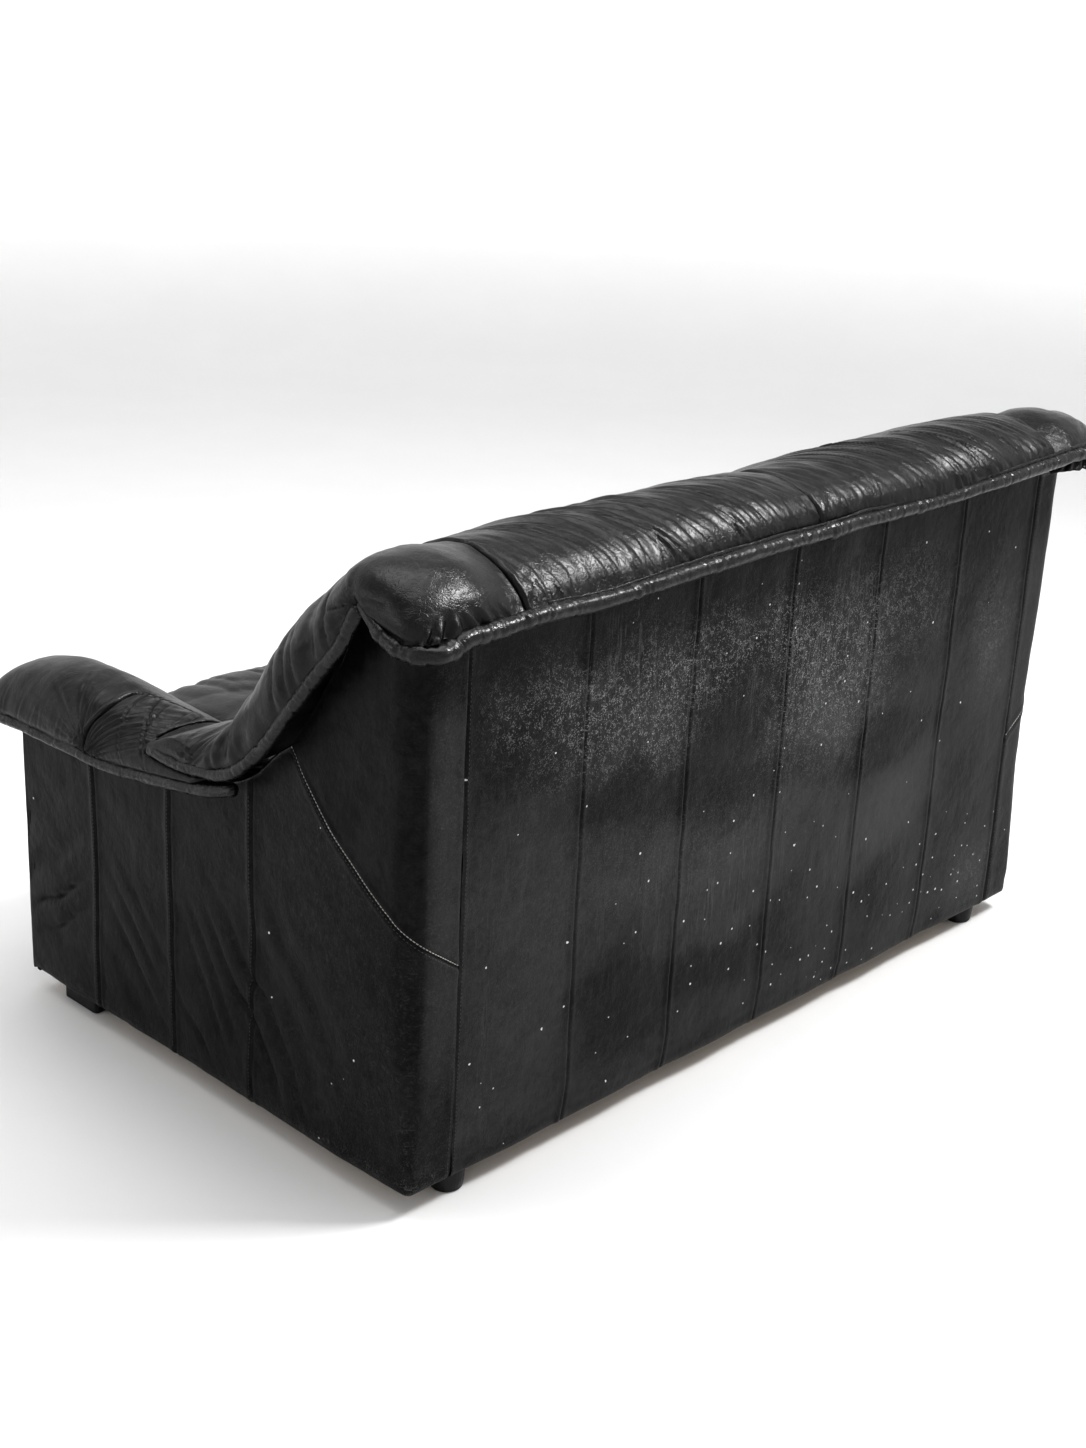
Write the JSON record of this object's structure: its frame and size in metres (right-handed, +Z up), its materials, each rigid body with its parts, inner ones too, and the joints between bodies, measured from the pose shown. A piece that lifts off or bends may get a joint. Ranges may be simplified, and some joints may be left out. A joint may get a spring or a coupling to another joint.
{
  "type": "worn leather sofa",
  "caption": "Low two-seat sofa in worn black leather, with a strip-sewn outer back, a gathered wrap-over back pad, padded arms and piped edges.",
  "frame": {"origin": "the middle of the footprint, on the floor", "axes": "+X along the sofa towards the sitter's left arm, +Y towards the outer back, +Z up"},
  "size_m": [1.4896, 0.9572, 0.866],
  "materials": {
    "leather_back": "matt, dry, scuffed and water-streaked black leather with small pale specks",
    "leather_side": "satin black leather with fine grain and soft folds",
    "leather_pad": "supple, rather glossy black leather, gathered along its seams",
    "leather_piping": "rubbed, glossy black leather drawn tightly over cord",
    "timber": "sawn pine, unfinished",
    "spring_steel": "oiled spring wire",
    "stud_steel": "zinc-plated",
    "webbing": "woven elastic webbing",
    "dust_cloth": "black non-woven cloth",
    "foot_black": "black moulded plastic, scuffed"
  },
  "bodies": {
    "root": {"arm_board_left": "timber", "arm_board_right": "timber", "arm_front_cover_left": "leather_side", "arm_front_cover_right": "leather_side", "arm_inner_cover_left": "leather_side", "arm_inner_cover_right": "leather_side", "arm_pad_left": "leather_pad", "arm_pad_right": "leather_pad", "back_pad_left": "leather_pad", "back_pad_right": "leather_pad", "back_web_lower": "webbing", "back_web_upper": "webbing", "corner_block_front_left": "timber", "corner_block_front_right": "timber", "corner_block_rear_left": "timber", "corner_block_rear_right": "timber", "dust_cover": "dust_cloth", "foot_front_left": "foot_black", "foot_front_right": "foot_black", "foot_rear_left": "foot_black", "foot_rear_right": "foot_black", "foot_stud_front_left": "stud_steel", "foot_stud_front_right": "stud_steel", "foot_stud_rear_left": "stud_steel", "foot_stud_rear_right": "stud_steel", "front_cover": "leather_side", "outer_back_cover": "leather_back", "post_arm_left": "timber", "post_arm_right": "timber", "post_rear_centre": "timber", "post_rear_left": "timber", "post_rear_right": "timber", "rail_back_mid": "timber", "rail_back_top": "timber", "rail_centre": "timber", "rail_front": "timber", "rail_left": "timber", "rail_rear": "timber", "rail_right": "timber", "seat_cushion_left": "leather_pad", "seat_cushion_right": "leather_pad", "seat_spring_left_1": "spring_steel", "seat_spring_left_2": "spring_steel", "seat_spring_left_3": "spring_steel", "seat_spring_right_1": "spring_steel", "seat_spring_right_2": "spring_steel", "seat_spring_right_3": "spring_steel", "side_cover_left": "leather_side", "side_cover_right": "leather_side", "welt_arm_left": "leather_piping", "welt_arm_right": "leather_piping", "welt_rear": "leather_piping", "welt_wing_left": "leather_piping", "welt_wing_right": "leather_piping", "wing_board_left": "timber", "wing_board_right": "timber", "wing_cover_left": "leather_side", "wing_cover_right": "leather_side", "wing_pad_left": "leather_pad", "wing_pad_right": "leather_pad"}
  },
  "joints": []
}
